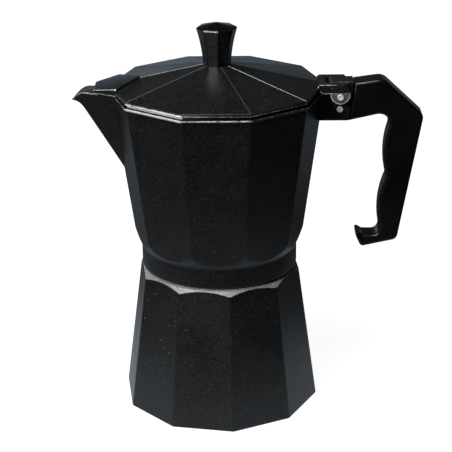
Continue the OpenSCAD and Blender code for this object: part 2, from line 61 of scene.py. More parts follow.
# places that the frame gives
spots = {
    "neckTop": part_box("boiler")[1].z / mm,
    "collarZ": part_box("collector")[0].z / mm,
    "bracketTop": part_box("collector")[1].z / mm,
    "spoutTip": -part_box("collector")[0].x / mm,
    "knobZ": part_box("knob")[0].z / mm,
    "gasketTop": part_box("gasket")[1].z / mm,
    "filterTop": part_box("filter_plate")[1].z / mm,
    "hingeX": middleOf("hinge_pin", 0),
    "hingeZ": middleOf("hinge_pin", 2),
    "handlePinZ": middleOf("handle_pin", 2),
}
spots["rimZ"] = spots["bracketTop"] - 6.1        # the bracket stands above the rim
spots["lidZ"] = spots["rimZ"] + 0.4              # and the lid rests just clear of it
print("stage: frame loaded")


# shaping helpers
def softEdges(bm, edges, width, segments=3):
    edges = [e for e in edges if e.is_valid]
    if edges:
        bmesh.ops.bevel(bm, geom=edges, offset=width, offset_type="OFFSET", segments=segments, profile=0.5,
                        affect="EDGES", material=-1, clamp_overlap=True, loop_slide=True)


def sharpEdges(bm, least=20, keep=None):
    return [e for e in bm.edges if len(e.link_faces) == 2
            and math.degrees(e.calc_face_angle(0)) > least and (keep is None or keep(e))]


def middle(edge):
    return (edge.verts[0].co + edge.verts[1].co) / 2


def level(edge):                       # a horizontal edge
    return abs(edge.verts[0].co.z - edge.verts[1].co.z) < 1e-4


def workPiece(name, bm, finish):
    bmesh.ops.remove_doubles(bm, verts=bm.verts, dist=0.002)
    bmesh.ops.recalc_face_normals(bm, faces=bm.faces)
    mesh = bpy.data.meshes.new(name)
    bm.to_mesh(mesh)
    bm.free()
    mesh.materials.append(finish)
    piece = bpy.data.objects.new(name, mesh)
    scene.collection.objects.link(piece)
    return piece


# a many-sided body that grows level by level, with a corner on +X
def facetStack(levels, sides=10, turn=0):
    bm = bmesh.new()
    r0, z0 = levels[0]
    place = Matrix.Translation((0, 0, z0)) @ Matrix.Rotation(math.radians(turn - 90), 4, "Z")
    bmesh.ops.create_circle(bm, cap_ends=True, segments=sides, radius=r0, matrix=place)
    base = top = list(bm.faces)[0]
    for (rLow, zLow), (rHigh, zHigh) in zip(levels, levels[1:]):
        grown = bmesh.ops.extrude_face_region(bm, geom=[top], use_keep_orig=top is base)["geom"]
        if top is not base and top.is_valid:
            bmesh.ops.delete(bm, geom=[top], context="FACES_ONLY")
        top = [g for g in grown if isinstance(g, bmesh.types.BMFace)][0]
        ring = list(top.verts)
        bmesh.ops.translate(bm, verts=ring, vec=(0, 0, zHigh - zLow))
        bmesh.ops.scale(bm, verts=ring, vec=(rHigh / rLow, rHigh / rLow, 1))
    bmesh.ops.recalc_face_normals(bm, faces=bm.faces)
    return bm


# a turned body: the outline runs from axis to axis, or closes on itself
def turnedBody(outline, closed=False, steps=120):
    bm = bmesh.new()
    points = [bm.verts.new((r, 0, z)) for r, z in outline]
    lines = [bm.edges.new(pair) for pair in zip(points, points[1:])]
    if closed:
        lines.append(bm.edges.new((points[-1], points[0])))
    bmesh.ops.spin(bm, geom=points + lines, cent=(0, 0, 0), axis=(0, 0, 1), angle=2 * math.pi, steps=steps,
                   use_merge=True)
    bmesh.ops.remove_doubles(bm, verts=bm.verts, dist=0.002)
    bmesh.ops.recalc_face_normals(bm, faces=bm.faces)
    return bm


# a side view in X and Z, pulled to its width along Y; each corner is (x, z, radius)
def sideSlab(corners, width, centre=0, edge=0.4, segments=3, rounds=6):
    bm = bmesh.new()
    points = [bm.verts.new((c[0], centre - width / 2, c[1])) for c in corners]
    bm.faces.new(points)
    for i, point in enumerate(points):
        radius = corners[i][2] if len(corners[i]) > 2 else 0
        if radius:
            a = Vector(corners[i - 1][:2]) - Vector(corners[i][:2])
            b = Vector(corners[(i + 1) % len(corners)][:2]) - Vector(corners[i][:2])
            run = radius / math.tan(a.angle(b) / 2)
            bmesh.ops.bevel(bm, geom=[point], offset=run, offset_type="OFFSET", segments=rounds, profile=0.5,
                            affect="VERTICES", material=-1, clamp_overlap=False)
    grown = bmesh.ops.extrude_face_region(bm, geom=list(bm.faces), use_keep_orig=True)["geom"]
    far = [g for g in grown if isinstance(g, bmesh.types.BMVert)]
    bmesh.ops.translate(bm, verts=far, vec=(0, width, 0))
    bmesh.ops.recalc_face_normals(bm, faces=bm.faces)
    if edge:
        rims = [e for e in bm.edges if abs(e.verts[0].co.y - e.verts[1].co.y) < 1e-4]
        bmesh.ops.bevel(bm, geom=rims, offset=edge, offset_type="OFFSET", segments=segments, profile=0.5,
                        affect="EDGES", material=-1, clamp_overlap=False, loop_slide=True)
    return bm


def block(low, high, edge=0.3):
    bm = bmesh.new()
    size = Vector(high) - Vector(low)
    place = Matrix.Translation((Vector(high) + Vector(low)) / 2) @ Matrix.Diagonal((*size, 1))
    bmesh.ops.create_cube(bm, size=1, matrix=place)
    if edge:
        softEdges(bm, list(bm.edges), edge, 2)
    return bm


# a peg along Z from low to high, before its place turns it
def peg(radius, low, high, segments=48, place=Matrix()):
    bm = bmesh.new()
    bmesh.ops.create_cone(bm, cap_ends=True, segments=segments, radius1=radius, radius2=radius, depth=high - low,
                          matrix=place @ Matrix.Translation((0, 0, (low + high) / 2)))
    return bm


def crossRod(x, z, radius, width, centre=0, edge=0, segments=40):
    place = Matrix.Translation((x, centre, z)) @ Matrix.Rotation(math.pi / 2, 4, "X")
    bm = peg(radius, -width / 2, width / 2, segments, place)
    if edge:
        softEdges(bm, sharpEdges(bm, 60), edge, 3)
    return bm


# skin through rings of points, closed at both ends
def lofted(rings):
    bm = bmesh.new()
    made = []
    for ring in rings:
        points = [bm.verts.new(p) for p in ring]
        made.append((points, [bm.edges.new((points[i - 1], points[i])) for i in range(len(points))]))
    for (_, near), (_, far) in zip(made, made[1:]):
        bmesh.ops.bridge_loops(bm, edges=near + far)
    bm.faces.new(made[0][0])
    bm.faces.new(made[-1][0])
    bmesh.ops.recalc_face_normals(bm, faces=bm.faces)
    return bm


# rows of numbers, eased into a smooth run with extra rows in between
def smoothRows(rows, extra=4):
    made = []
    for i in range(len(rows) - 1):
        a, b = rows[max(i - 1, 0)], rows[i]
        c, d = rows[i + 1], rows[min(i + 2, len(rows) - 1)]
        for k in range(extra):
            t = k / extra
            made.append([0.5 * (2 * q + (r - p) * t + (2 * p - 5 * q + 4 * r - s) * t * t
                                + (3 * q - p - 3 * r + s) * t ** 3) for p, q, r, s in zip(a, b, c, d)])
    return made + [list(rows[-1])]


def carve(piece, tool, how):
    cut = piece.modifiers.new("cut", "BOOLEAN")
    cut.operation = how
    cut.solver = "EXACT"
    cut.material_mode = "TRANSFER"
    cut.object = tool
    shaped = bpy.data.meshes.new_from_object(piece.evaluated_get(bpy.context.evaluated_depsgraph_get()))
    bm = bmesh.new()
    bm.from_mesh(shaped)
    bmesh.ops.remove_doubles(bm, verts=bm.verts, dist=0.006)
    bmesh.ops.dissolve_degenerate(bm, edges=bm.edges, dist=0.004)
    bm.to_mesh(shaped)
    bm.free()
    piece.modifiers.clear()
    piece.data = shaped
    bpy.data.objects.remove(tool)


def addTo(piece, bm, finish):
    carve(piece, workPiece("added", bm, finish), "UNION")


def cutFrom(piece, bm, finish):
    carve(piece, workPiece("cutter", bm, finish), "DIFFERENCE")


def keepInside(piece, bm, finish):
    carve(piece, workPiece("envelope", bm, finish), "INTERSECT")


# brings a shaped piece to metres, eases its shading, and fastens it to its body
def finishPiece(piece, name, body, nodes=(), sharpest=38, scaled=True):
    mesh = piece.data
    if scaled:
        mesh.transform(Matrix.Scale(mm, 4))
    bm = bmesh.new()
    bm.from_mesh(mesh)
    bmesh.ops.remove_doubles(bm, verts=bm.verts, dist=2e-6)
    bmesh.ops.dissolve_degenerate(bm, edges=bm.edges, dist=1e-6)
    bm.to_mesh(mesh)
    bm.free()
    mesh.shade_smooth()
    mesh.set_sharp_from_angle(angle=math.radians(sharpest))
    ease = piece.modifiers.new("ease", "WEIGHTED_NORMAL")
    ease.keep_sharp = True
    ease.weight = 60
    piece.name = name
    if body:                           # a piece that bends between two bodies rides on neither
        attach(piece, body)
    if nodes:
        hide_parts(*nodes)
    return piece


# shader helpers: a value is a number, a place, a colour, or another node's output, which is linked
def feed(tree, socket, value):
    if isinstance(value, bpy.types.NodeSocket):
        tree.links.new(value, socket)
    elif socket.type == "RGBA":
        socket.default_value = (*value, 1)
    else:
        socket.default_value = value


def addNode(tree, kind, inputs=None, **settings):
    made = tree.nodes.new(kind)
    for key, value in settings.items():
        setattr(made, key, value)
    for key, value in (inputs or {}).items():
        feed(tree, made.inputs[key], value)
    return made


def newTree(name):
    made = bpy.data.materials.new(name)
    made.use_nodes = True
    made.node_tree.nodes.clear()
    return made, made.node_tree


def objectPlace(tree):
    return addNode(tree, "ShaderNodeTexCoord").outputs["Object"]


def sumUp(tree, how, *values):
    return addNode(tree, "ShaderNodeMath", dict(enumerate(values)), operation=how).outputs[0]


def product(tree, first, *others):
    for other in others:
        first = sumUp(tree, "MULTIPLY", first, other)
    return first


def vectorSum(tree, how, *values):
    made = addNode(tree, "ShaderNodeVectorMath", dict(enumerate(values)), operation=how)
    return made.outputs["Value" if how in ("DOT_PRODUCT", "LENGTH") else "Vector"]


# a smooth step stays in its range by itself, and a clamp on it would add a node to a long material
def ramped(tree, value, low, high, toLow=0.0, toHigh=1.0):
    inputs = {"Value": value, "From Min": low, "From Max": high, "To Min": toLow, "To Max": toHigh}
    made = addNode(tree, "ShaderNodeMapRange", inputs, interpolation_type="SMOOTHSTEP", clamp=False)
    return made.outputs["Result"]


def noised(tree, where, scale, detail=4.0, rough=0.55):
    inputs = {"Vector": where, "Scale": scale, "Detail": detail, "Roughness": rough}
    return addNode(tree, "ShaderNodeTexNoise", inputs).outputs["Fac"]


def blended(tree, share, a, b):
    return addNode(tree, "ShaderNodeMix", {"Factor": share, 6: a, 7: b}, data_type="RGBA").outputs[2]


def bumped(tree, height, strength, depth):
    return addNode(tree, "ShaderNodeBump", {"Strength": strength, "Distance": depth, "Height": height}).outputs[0]


def shadedBy(tree, inputs):
    shader = addNode(tree, "ShaderNodeBsdfPrincipled", inputs)
    addNode(tree, "ShaderNodeOutputMaterial", {"Surface": shader.outputs[0]})


# a shader group: an input whose default is None takes a place, and the others and every output are numbers
def newGroup(name, ins, outs):
    group = bpy.data.node_groups.new(name, "ShaderNodeTree")
    for key, default in ins.items():
        kind = "NodeSocketVector" if default is None else "NodeSocketFloat"
        socket = group.interface.new_socket(name=key, in_out="INPUT", socket_type=kind)
        if default is not None:
            socket.default_value = default
    for key in outs:
        group.interface.new_socket(name=key, in_out="OUTPUT", socket_type="NodeSocketFloat")
    return group, group.nodes.new("NodeGroupInput").outputs, group.nodes.new("NodeGroupOutput").inputs


grainLook = {
    "fleckScale": 1900, "fleckOut": 0.36, "fleckIn": 0.16, "patchScale": 38, "patchLow": 0.42, "patchHigh": 0.62,
    "toneScale": 26, "fineScale": 1300, "fine": 0.6, "broadScale": 240, "broad": 0.5,
}


# fine casting grain under the paint, with scattered metal flecks
def grainGroup():
    g = grainLook
    group, given, gives = newGroup("castGrain", {"Vector": None, "Fleck Share": 0.02}, ["Fleck", "Tone", "Height"])
    where = given["Vector"]
    cells = addNode(group, "ShaderNodeTexVoronoi", {"Scale": g["fleckScale"], "Vector": where}, feature="F1").outputs
    pick = addNode(group, "ShaderNodeSeparateColor", {0: cells["Color"]}).outputs[0]
    chosen = sumUp(group, "LESS_THAN", pick, given["Fleck Share"])
    near = ramped(group, cells["Distance"], g["fleckOut"], g["fleckIn"])
    patchy = ramped(group, noised(group, where, g["patchScale"], 2), g["patchLow"], g["patchHigh"])
    feed(group, gives["Fleck"], product(group, chosen, near, patchy))
    feed(group, gives["Tone"], noised(group, where, g["toneScale"], 6, 0.65))
    fine = product(group, noised(group, where, g["fineScale"], 3, 0.6), g["fine"])
    broad = product(group, noised(group, where, g["broadScale"], 3, 0.5), g["broad"])
    feed(group, gives["Height"], sumUp(group, "ADD", fine, broad))
    return group


lineInputs = {"Width": 0.0005, "Amount": 0.6, "Strength": 1.0, "Wave": 0.0, "Patches": 0.5}
lineLook = {"ragged": 1.4, "core": 0.4, "fadeIn": 0.1, "fadeOut": 0.06}


# a line of bare metal colour, for worn edges and for painted highlights, sheen and light: how much shows at a
# distance from its middle; few nodes, because a piece has many lines
def wearAndPaintedLightLine(group, given, away):
    width, look = given["Width"], lineLook
    off = sumUp(group, "MULTIPLY_ADD", given["Wave"], width, away)
    line = ramped(group, off, width, product(group, width, look["core"]), 0.0, given["Strength"])
    least = sumUp(group, "SUBTRACT", 1.0, given["Amount"])
    return ramped(group, given["Patches"], sumUp(group, "SUBTRACT", least, look["fadeIn"]),
                  sumUp(group, "ADD", least, look["fadeOut"]), 0.0, line)


# bare metal colour along a straight edge, for wear and for painted highlights and painted light
def edgeGroup():
    group, given, gives = newGroup("wearAndPaintedLightEdge", {"Vector": None, "Start": None, "End": None, **lineInputs}, ["Mask"])
    run = vectorSum(group, "SUBTRACT", given["End"], given["Start"])
    reach = vectorSum(group, "SUBTRACT", given["Vector"], given["Start"])
    share = sumUp(group, "DIVIDE", vectorSum(group, "DOT_PRODUCT", reach, run),
                  vectorSum(group, "DOT_PRODUCT", run, run))
    share = sumUp(group, "MINIMUM", sumUp(group, "MAXIMUM", share, 0.0), 1.0)
    nearest = addNode(group, "ShaderNodeVectorMath", {0: run, "Scale": share}, operation="SCALE").outputs[0]
    away = vectorSum(group, "LENGTH", vectorSum(group, "SUBTRACT", reach, nearest))
    feed(group, gives["Mask"], wearAndPaintedLightLine(group, given, away))
    return group


# bare metal colour round the lower part of a circle that lies across Y, for wear and for painted sheen
def ringGroup():
    group, given, gives = newGroup("wearAndSheenRing", {"Vector": None, "Centre": None, "Radius": 0.006, "Top": 0.2,
                                                **lineInputs}, ["Mask"])
    reach = vectorSum(group, "SUBTRACT", given["Vector"], given["Centre"])
    out = vectorSum(group, "LENGTH", vectorSum(group, "MULTIPLY", reach, (1, 0, 1)))
    gap = sumUp(group, "ABSOLUTE", sumUp(group, "SUBTRACT", out, given["Radius"]))
    across = vectorSum(group, "LENGTH", vectorSum(group, "MULTIPLY", reach, (0, 1, 0)))
    height = addNode(group, "ShaderNodeSeparateXYZ", {0: given["Vector"]}).outputs[2]
    below = sumUp(group, "LESS_THAN", height, given["Top"])
    line = wearAndPaintedLightLine(group, given, sumUp(group, "MAXIMUM", gap, across))
    feed(group, gives["Mask"], product(group, line, below))
    return group


groups = {"grain": grainGroup(), "edge": edgeGroup(), "ring": ringGroup()}


def useGroup(tree, name, inputs):
    return addNode(tree, "ShaderNodeGroup", inputs, node_tree=groups[name]).outputs


paint = {
    "dark": (0.0032, 0.0034, 0.0036), "light": (0.0062, 0.0064, 0.0066), "speck": (0.026, 0.027, 0.026),
    "bare": (0.8, 0.8, 0.78), "rough": 0.36, "bareRough": 0.55, "bareMetallic": 0.45, "gloss": 0.42,
    "speckScale": 1150, "waveScale": 420, "patchScale": 560, "chipScale": 1400, "chip": 1.6,
    "sparkleScale": 1700, "bump": 0.5, "bumpDepth": 0.00006,
}


# black paint over cast aluminium, with lines of bare metal colour for wear and for painted highlights; mirrored
# edges and rings show on both sides, and a slope is a cone ring lightened with bare metal colour, a painted sheen
def paintedMetal(name, flecks, edges=(), mirrored=(), rings=(), slope=None):
    p = paint
    made, tree = newTree(name)
    where = objectPlace(tree)
    x, y, z = addNode(tree, "ShaderNodeSeparateXYZ", {0: where}).outputs
    folded = product(tree, sumUp(tree, "ABSOLUTE", y), -1.0)
    near = addNode(tree, "ShaderNodeCombineXYZ", {0: x, 1: folded, 2: z}).outputs[0]
    grain = useGroup(tree, "grain", {"Vector": where, "Fleck Share": flecks})
    colour = blended(tree, ramped(tree, grain["Tone"], 0.35, 0.7), p["dark"], p["light"])
    colour = blended(tree, ramped(tree, noised(tree, where, p["speckScale"], 1, 0.5), 0.5, 0.76), colour, p["speck"])
    wave = sumUp(tree, "SUBTRACT", noised(tree, where, p["waveScale"], 5, 0.7), 0.5)
    uneven = {"Wave": product(tree, wave, lineLook["ragged"]),
              "Patches": noised(tree, where, p["patchScale"], 5, 0.8)}
    mask = grain["Fleck"]
    lines = [("edge", where, row) for row in edges] + [("edge", near, row) for row in mirrored]
    for kind, spot, row in lines + [("ring", near, row) for row in rings]:
        line = useGroup(tree, kind, {"Vector": spot, **uneven, **row})
        mask = sumUp(tree, "MAXIMUM", mask, line["Mask"])
    # the slope: bare metal colour round the shoulder cone, a painted sheen standing in for the paint's reflection
    # there
    if slope:
        out = vectorSum(tree, "LENGTH", vectorSum(tree, "MULTIPLY", where, (1, 1, 0)))
        fall = sumUp(tree, "DIVIDE", sumUp(tree, "SUBTRACT", slope["z"] * mm, z), slope["rise"])
        off = sumUp(tree, "ABSOLUTE", sumUp(tree, "SUBTRACT", sumUp(tree, "SUBTRACT", out, slope["r"] * mm), fall))
        sparkle = ramped(tree, noised(tree, where, p["sparkleScale"], 3, 0.7), 0.36, 0.62, 0.3, 1.0)
        below = sumUp(tree, "LESS_THAN", z, (slope["z"] + 0.3) * mm)
        cone = product(tree, ramped(tree, off, 0.5 * mm, 0.25 * mm, 0.0, slope["strength"]), sparkle, below)
        mask = sumUp(tree, "MAXIMUM", mask, cone)
    satin = ramped(tree, grain["Tone"], 0.3, 0.7, p["rough"] - 0.04, p["rough"] + 0.05)
    chipped = product(tree, mask, noised(tree, where, p["chipScale"], 3, 0.7), p["chip"])
    shadedBy(tree, {
        "Specular IOR Level": p["gloss"], "Base Color": blended(tree, mask, colour, p["bare"]),
        "Metallic": product(tree, mask, p["bareMetallic"]),
        "Roughness": sumUp(tree, "ADD", satin, product(tree, mask, p["bareRough"] - p["rough"])),
        "Normal": bumped(tree, sumUp(tree, "ADD", grain["Height"], chipped), p["bump"], p["bumpDepth"])})
    return made


# one row of bare metal colour for wear and for painted light, in millimetres: its width, how much of its length
# shows, and how bright it is
def wearAndPaintedLightEdge(start, end, width, amount, strength):
    return {"Start": Vector(start) * mm, "End": Vector(end) * mm, "Width": width * mm, "Amount": amount,
            "Strength": strength}


def wearAndSheenRing(centre, radius, top, width, amount, strength):
    return {"Centre": Vector(centre) * mm, "Radius": radius * mm, "Top": top * mm, "Width": width * mm,
            "Amount": amount, "Strength": strength}


def corner(r, turn, z):                # a corner of the ten-sided body
    return (r * math.cos(math.radians(turn)), r * math.sin(math.radians(turn)), z)


def wearAndPaintedLightSide(r, turn, z, *how):        # one of the ten level edges
    return wearAndPaintedLightEdge(corner(r, turn, z), corner(r, turn + 36, z), *how)


# one-colour metals and mouldings: colour pair, roughness pair, grain size and depth
def plainFinish(name, colours, rough, metallic, grain=300.0, depth=0.00003, stretch=(1, 1, 1), spec=0.5, stain=0.0):
    made, tree = newTree(name)
    where = objectPlace(tree)
    stretched = addNode(tree, "ShaderNodeMapping", {"Scale": stretch, "Vector": where}).outputs[0]
    tone = noised(tree, stretched, grain, 5, 0.6)
    cloud = noised(tree, where, 45, 4, 0.6)
    mix = sumUp(tree, "ADD", product(tree, tone, 1 - stain), product(tree, cloud, stain))
    shadedBy(tree, {
        "Metallic": metallic, "Specular IOR Level": spec, "Normal": bumped(tree, tone, 0.6, depth),
        "Base Color": blended(tree, ramped(tree, mix, 0.35, 0.65), colours[0], colours[1]),
        "Roughness": ramped(tree, cloud, 0.3, 0.7, rough[0], rough[1])})
    return made


bareMetal = plainFinish("bare_metal", ((0.5, 0.51, 0.52), (0.72, 0.73, 0.74)), (0.32, 0.5), 1.0, 500, 0.00003,
                        (1, 1, 0.15), stain=0.5)
pressedMetal = plainFinish("pressed_metal", ((0.66, 0.67, 0.68), (0.8, 0.81, 0.82)), (0.22, 0.34), 1.0, 700,
                           0.00001, (1, 1, 0.1), stain=0.4)
moulding = plainFinish("black_moulding", ((0.0011, 0.0010, 0.0009), (0.0022, 0.0021, 0.002)), (0.3, 0.38), 0.0,
                       900, 0.00003, spec=0.42, stain=0.3)
knobMoulding = plainFinish("knob_moulding", ((0.0018, 0.0018, 0.0016), (0.0045, 0.0046, 0.004)), (0.24, 0.32), 0.0,
                           600, 0.00003, spec=0.65, stain=0.5)
zinc = plainFinish("zinc", ((0.68, 0.73, 0.75), (0.94, 0.97, 0.98)), (0.42, 0.6), 0.5, 1500, 0.0001, stain=0.2)
springSteel = plainFinish("spring_steel", ((0.45, 0.46, 0.48), (0.6, 0.61, 0.63)), (0.2, 0.3), 1.0, 1200, 0.00001)
turnedBrass = plainFinish("turned_brass", ((0.55, 0.38, 0.13), (0.72, 0.53, 0.24)), (0.22, 0.36), 1.0, 900,
                          0.00002, (8, 1, 1), stain=0.4)
whiteRubber = plainFinish("white_rubber", ((0.62, 0.6, 0.55), (0.74, 0.72, 0.67)), (0.6, 0.75), 0.0, 600, 0.00004,
                          spec=0.4, stain=0.4)
redRubber = plainFinish("red_rubber", ((0.28, 0.04, 0.025), (0.38, 0.07, 0.045)), (0.6, 0.75), 0.0, 900, 0.00004,
                        spec=0.4)
fibreBoard = plainFinish("fibre", ((0.2, 0.07, 0.035), (0.32, 0.13, 0.07)), (0.65, 0.8), 0.0, 1200, 0.00005,
                         spec=0.3)
print("stage: finishes made")


# boiler
boiler = {
    "baseR": 64.4, "facetTop": 88.7, "facetTopR": 52.3, "shoulderZ": spots["neckTop"] - 11.6, "shoulderR": 47.65,
    "shoulderOver": 4, "slope": 40, "turn": -10, "neckR": 44.95, "mouthR": 42.05, "floor": 4,
    "cavityR": 57.7, "cavityTopR": 46.55, "cavityTop": 85.7, "cornerSoft": 1.1, "footSoft": 0.8,
    "valveTurn": 80, "valveZ": 60, "valveFace": 52.46, "valveBoreR": 4.6, "spotR": 8.5, "bossIn": 6,
    "neckSoft": 0.5, "cavitySoft": 2.5, "flecks": 0.007, "slopeSheen": 0.5, "past": 2,
}
# the shoulder's slope mask lightens the cone all round: painted sheen
boilerPaint = paintedMetal("boiler_paint", boiler["flecks"], slope={
    "r": boiler["shoulderR"], "z": boiler["shoulderZ"], "rise": math.tan(math.radians(boiler["slope"])),
    "strength": boiler["slopeSheen"]})


# the valve's own frame, with Z out of the boiler
def valvePlace(out=0):
    return (Matrix.Rotation(math.radians(boiler["valveTurn"]), 4, "Z")
            @ Matrix.Translation((boiler["valveFace"], 0, boiler["valveZ"]))
            @ Matrix.Rotation(math.pi / 2, 4, "Y") @ Matrix.Translation((0, 0, out)))


def makeBoiler():
    b = boiler
    taper = (b["baseR"] - b["facetTopR"]) / b["facetTop"]
    top = b["shoulderZ"]
    bm = facetStack([(b["baseR"], 0), (b["baseR"] - taper * top, top)], turn=b["turn"])
    softEdges(bm, sharpEdges(bm, 20, lambda e: not level(e)), b["cornerSoft"])
    softEdges(bm, sharpEdges(bm, 20, lambda e: level(e) and middle(e).z < 1), b["footSoft"])
    piece = workPiece("boilerBody", bm, boilerPaint)
    lowest = b["facetTop"] - b["shoulderOver"]
    lowR = b["facetTopR"] + b["shoulderOver"] / math.tan(math.radians(b["slope"]))
    outside = b["baseR"] + 6
    envelope = turnedBody([(0, -b["past"]), (outside, -b["past"]), (outside, lowest), (lowR, lowest),
                           (b["shoulderR"], top), (0, top)])
    keepInside(piece, envelope, boilerPaint)
    neckTop = spots["neckTop"]
    neck = turnedBody([(0, top - b["past"]), (b["neckR"], top - b["past"]), (b["neckR"], neckTop), (0, neckTop)])
    softEdges(neck, sharpEdges(neck, 40, lambda e: middle(e).z > top), b["neckSoft"])
    addTo(piece, neck, boilerPaint)
    cavity = turnedBody([(0, b["floor"]), (b["cavityR"], b["floor"]), (b["cavityTopR"], b["cavityTop"]),
                         (b["mouthR"], top), (b["mouthR"], neckTop + b["past"]), (0, neckTop + b["past"])])
    softEdges(cavity, sharpEdges(cavity, 15, lambda e: middle(e).z < top + 1), b["cavitySoft"])
    cutFrom(piece, cavity, bareMetal)
    for radius, low, high, how in ((b["spotR"], -b["bossIn"], -0.5, addTo), (b["spotR"], 0, 6, cutFrom),
                                   (b["valveBoreR"], -12, 4, cutFrom)):
        how(piece, peg(radius, low, high, place=valvePlace()), bareMetal)
    return finishPiece(piece, "boiler_casting", "boiler", ["boiler"])


# shares of the pitch for the ridge's crest and foot, and how fast its ends fade
thread = {"pitch": 4, "turns": 2.0, "steps": 72, "high": 1, "rootIn": 0.3, "crest": (0.2, 0.32), "foot": 0.52,
          "fade": 6, "least": 0.05}


# a helical ridge that starts and ends by running out into its wall
def threadRidge(name, body, rootR, crestR, low, finish):
    t = thread
    side = 1 if crestR > rootR else -1
    inR, rise = rootR - side * t["rootIn"], t["pitch"] * t["turns"]
    bm = bmesh.new()
    ridge = [(inR, 0), (rootR, 0), (crestR, t["crest"][0]), (crestR, t["crest"][1]), (rootR, t["foot"]),
             (inR, t["foot"])]
    face = bm.faces.new([bm.verts.new((r, 0, low + t["pitch"] * share)) for r, share in ridge])
    steps = int(t["steps"] * t["turns"])
    bmesh.ops.spin(bm, geom=[face], cent=(0, 0, 0), axis=(0, 0, 1), angle=2 * math.pi * t["turns"], steps=steps,
                   dvec=(0, 0, rise / steps), use_duplicate=False)
    bmesh.ops.remove_doubles(bm, verts=bm.verts, dist=0.002)
    for v in bm.verts:
        climbed = (v.co.z - low) / rise
        share = max(min(1, climbed * t["fade"], (1.1 - climbed) * t["fade"]), t["least"])
        flat = Vector((v.co.x, v.co.y, 0))
        r = flat.length
        if (r - rootR) * side > 0:
            v.co.x, v.co.y, _ = flat.normalized() * (rootR + (r - rootR) * share)
    bmesh.ops.recalc_face_normals(bm, faces=bm.faces)
    return finishPiece(workPiece(name, bm, finish), name, body, sharpest=50)


makeBoiler()
threadRidge("neck_thread", "boiler", boiler["neckR"], boiler["neckR"] + thread["high"], boiler["shoulderZ"] + 1.6,
            boilerPaint)
print("stage: boiler made")

# collector
collector = {
    "collarR": 49.9, "collarH": 13.6, "waistR": 54.5, "waistH": 9.5, "bodyR": 66.9, "wall": 3, "lipR": 68.2,
    "lipH": 1.6, "cornerSoft": 1.1, "collarRootR": 47.3, "seatR": 45.8, "filterR": 41.2,
    "domeR": 37.5, "domeTop": 112.44, "floorZ": 115.44, "columnFoot": 9.6, "columnTop": 7, "columnH": 70,
    "columnBore": 3.4, "outletR": 2.6, "outletDrop": 6, "spoutWall": 2.2,
}
# spout rows: in from the tip, keel below the rim, half-width, edge above the rim
spoutRows = [(35, 57, 17, 0), (28.5, 46.2, 14.7, 0), (21, 33.6, 12, 0), (14, 22, 9.4, 0.1), (10, 15.4, 8, 0.6),
             (7.2, 10.9, 6.5, 0.1), (5, 8.3, 4.4, -1.1), (3, 7, 2.4, -2.8), (1, 6.4, 0.9, -4.8), (0, 6.2, 0.3, -5.6)]
bracket = {
    "front": 67.4, "end": 84.7, "foot": 81.6, "bottom": spots["bracketTop"] - 25, "width": 13.8, "chamfer": 3.1,
    "drop": 4.3, "tenonX": spots["hingeX"] - 5.8, "tenonW": 8, "socketZ": spots["bracketTop"] - 22, "socketH": 19,
}


# lip rows: turn, depth below the rim, width, amount, strength
def collectorWearAndHighlights():
    rim, top, side = spots["rimZ"], spots["bracketTop"], -bracket["width"] / 2
    # lip rows are bare metal colour, strongest at the front left and fainter to the right: partly wear, partly
    # painted highlight where the light catches the rim
    lip = [wearAndPaintedLightSide(collector["lipR"], turn, rim - z, *how) for turn, z, *how in (
        (-180, 0.2, 0.4, 0.42, 0.9), (-144, 0.4, 1.2, 0.62, 1), (-108, 0.4, 0.6, 0.53, 1),
        (-72, 0.3, 0.35, 0.42, 0.45), (-36, 0.3, 0.3, 0.4, 0.4))]
    return lip + [
        # the broken line along the bracket's top edge is a painted highlight
        wearAndPaintedLightEdge((70, side, top), (84.6, side, top), 0.28, 0.52, 0.7),
        wearAndPaintedLightEdge((81.8, side, rim - 18), (82.2, side, rim - 14), 0.25, 0.55, 0.8),
        wearAndPaintedLightEdge((-74, -10, rim + 0.2), (-84, -6.6, rim + 0.4), 0.7, 0.9, 0.8),
        wearAndPaintedLightEdge((-84, -6.6, rim + 0.4), (-90.6, -0.4, rim - 5.4), 0.6, 0.75, 0.7)]


collectorPaint = paintedMetal("collector_paint", 0.004, mirrored=collectorWearAndHighlights())


def spoutRing(row):
    x, half, low, top = row[0] - spots["spoutTip"], row[2], spots["rimZ"] - row[1], spots["rimZ"] + row[3]
    keel = min(1.6, half * 0.5)
    rise = min(keel * 1.2, (top - low) / 3)
    return [(x, half, top), (x, keel, low + rise), (x, keel / 3, low), (x, -keel / 3, low),
            (x, -keel, low + rise), (x, -half, top)]


def channelRing(row):
    wall = collector["spoutWall"]
    x, half = row[0] - spots["spoutTip"], row[2] - wall * 1.1
    low = spots["rimZ"] - row[1] + wall * 1.7
    top = max(spots["rimZ"] + row[3], low + 1)
    keel = min(1.6, row[2] * 0.5)
    rise = min(keel * 1.2, (top - low) / 3)
    return [(x, half, top + 6), (x, half, top), (x, keel, low + rise), (x, keel / 3, low), (x, -keel / 3, low),
            (x, -keel, low + rise), (x, -half, top), (x, -half, top + 6)]


